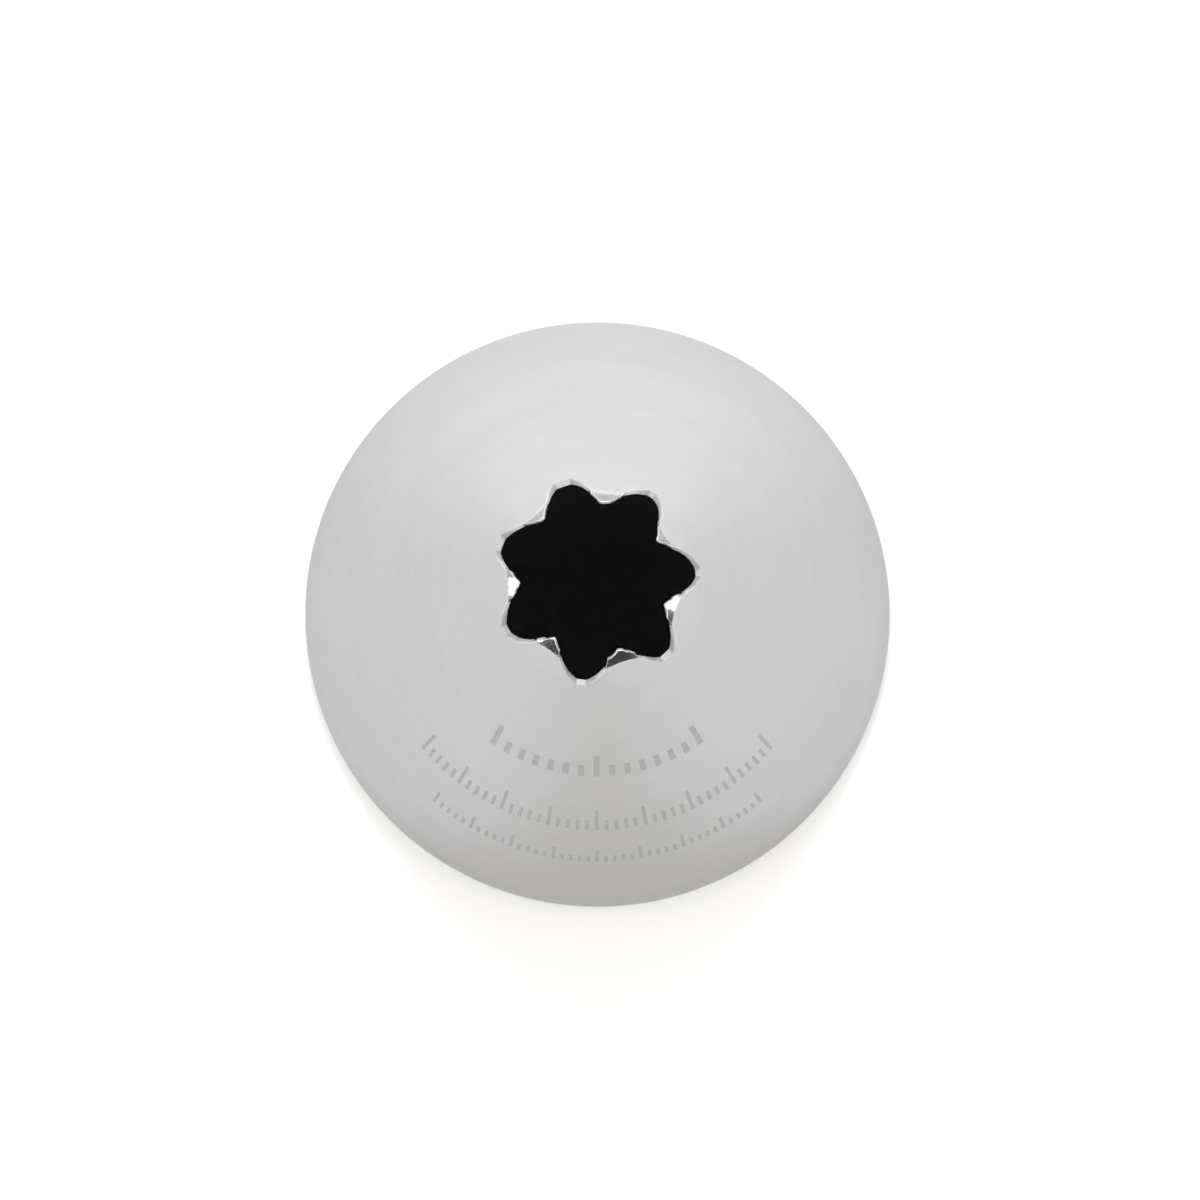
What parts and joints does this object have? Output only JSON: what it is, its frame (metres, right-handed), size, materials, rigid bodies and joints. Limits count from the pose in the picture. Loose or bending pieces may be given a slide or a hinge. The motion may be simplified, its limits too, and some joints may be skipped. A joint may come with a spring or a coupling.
{
  "type": "piping nozzle",
  "caption": "Open star piping nozzle: a seamless drawn steel cone with a short straight collar at its open end and pointed teeth bent in round a star-shaped mouth.",
  "frame": {"origin": "centre of the open end, on the plane of its rim", "axes": "+Z along the nozzle's axis from the open end to the star mouth, -Y towards the marked side of the cone"},
  "size_m": [0.018, 0.018, 0.03],
  "materials": {
    "satin_steel": "satin, tumbled stainless steel",
    "bright_steel": "bright, pressed and cut stainless steel"
  },
  "bodies": {
    "root": {"base_rim": "satin_steel", "cone_wall": "satin_steel", "nose_collar": "satin_steel", "star_tooth_1": "bright_steel", "star_tooth_2": "bright_steel", "star_tooth_3": "bright_steel", "star_tooth_4": "bright_steel", "star_tooth_5": "bright_steel", "star_tooth_6": "bright_steel", "star_tooth_7": "bright_steel"}
  },
  "joints": []
}
